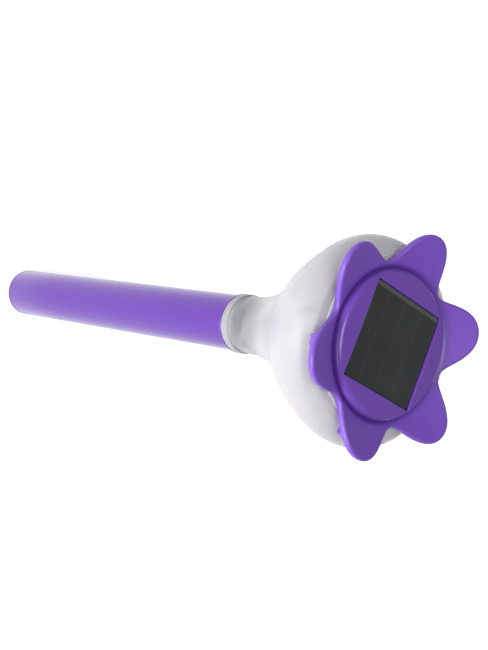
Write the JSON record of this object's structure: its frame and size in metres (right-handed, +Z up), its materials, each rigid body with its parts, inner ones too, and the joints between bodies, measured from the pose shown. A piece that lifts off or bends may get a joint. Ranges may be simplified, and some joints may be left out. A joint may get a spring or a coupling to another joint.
{
  "type": "solar ultrasonic pest repeller stake",
  "caption": "Purple tube stake with a frosted trumpet lamp head and a flower-shaped solar cap, holding a battery-fed sounder.",
  "frame": {"origin": "centre of the foot's underside, on the stake's axis", "axes": "+Z up the stake towards the flower, +X through one petal, the panel's sides along X and Y"},
  "size_m": [0.1416, 0.1292, 0.4377],
  "materials": {
    "petal_abs": "satin",
    "hub_abs": "satin",
    "stake_metal": "anodised gloss",
    "foot_plastic": "satin",
    "frosted_shade": "frosted",
    "frosted_lid": "frosted",
    "seal_rubber": "matte",
    "seal_silicone": "translucent",
    "gland_rubber": "matte",
    "foam_tape": "matte",
    "solar_board": "matte",
    "silicon_cell": "gloss",
    "tinned_ribbon": "satin",
    "panel_resin": "epoxy over silicon",
    "tray_white": "fine texture",
    "screw_steel": "zinc plated",
    "green_board": "solder mask",
    "board_component": "satin",
    "led_epoxy": "clear",
    "switch_plastic": "satin",
    "nub_plastic": "satin",
    "lead_pvc": "satin",
    "cell_wrap": "shrink sleeve",
    "cradle_plastic": "natural moulding",
    "contact_nickel": "nickel plated",
    "sounder_brass": "rolled",
    "piezo_ceramic": "silvered ceramic"
  },
  "bodies": {
    "stake": {"stake_tube": "stake_metal", "foot_plug": "foot_plastic"},
    "head": {"shade_bell": "frosted_shade", "neck_seal": "seal_rubber", "battery_cradle": "cradle_plastic", "battery_cell": "cell_wrap", "contact_plate": "contact_nickel", "contact_spring": "contact_nickel", "sounder_housing": "cradle_plastic", "sounder_diaphragm": "sounder_brass", "piezo_disc": "piezo_ceramic", "sounder_ring": "sounder_brass", "driver_board": "green_board", "driver_parts": "board_component", "sounder_leads": "lead_pvc", "cartridge_screws": "screw_steel", "cartridge_lead": "lead_pvc"},
    "cap": {"petal_ring": "petal_abs", "hub_housing": "hub_abs", "panel_gasket": "foam_tape", "solar_backing": "solar_board", "solar_cells": "silicon_cell", "cell_ribbons": "tinned_ribbon", "solar_window": "panel_resin", "shade_lid": "frosted_lid", "lid_seal": "seal_silicone", "electronics_tray": "tray_white", "tray_screws": "screw_steel", "main_board": "green_board", "board_parts": "board_component", "lamp_leds": "led_epoxy", "power_switch": "switch_plastic", "outlet_gland": "gland_rubber", "head_lead": "lead_pvc", "panel_leads": "lead_pvc"},
    "switch_nub": {"switch_slider": "nub_plastic"}
  },
  "joints": [
    {"name": "head_pull", "type": "slide", "parent": "stake", "child": "head", "axis": [0, 0, 1], "range_m": [0, 0.045]},
    {"name": "cap_twist", "type": "hinge", "parent": "head", "child": "cap", "pos_m": [0, 0, 0.4246], "axis": [0, 0, 1], "range_deg": [0, 26]},
    {"name": "switch_slide", "type": "slide", "parent": "cap", "child": "switch_nub", "axis": [1, 0, 0], "range_m": [0, 0.0025]}
  ]
}
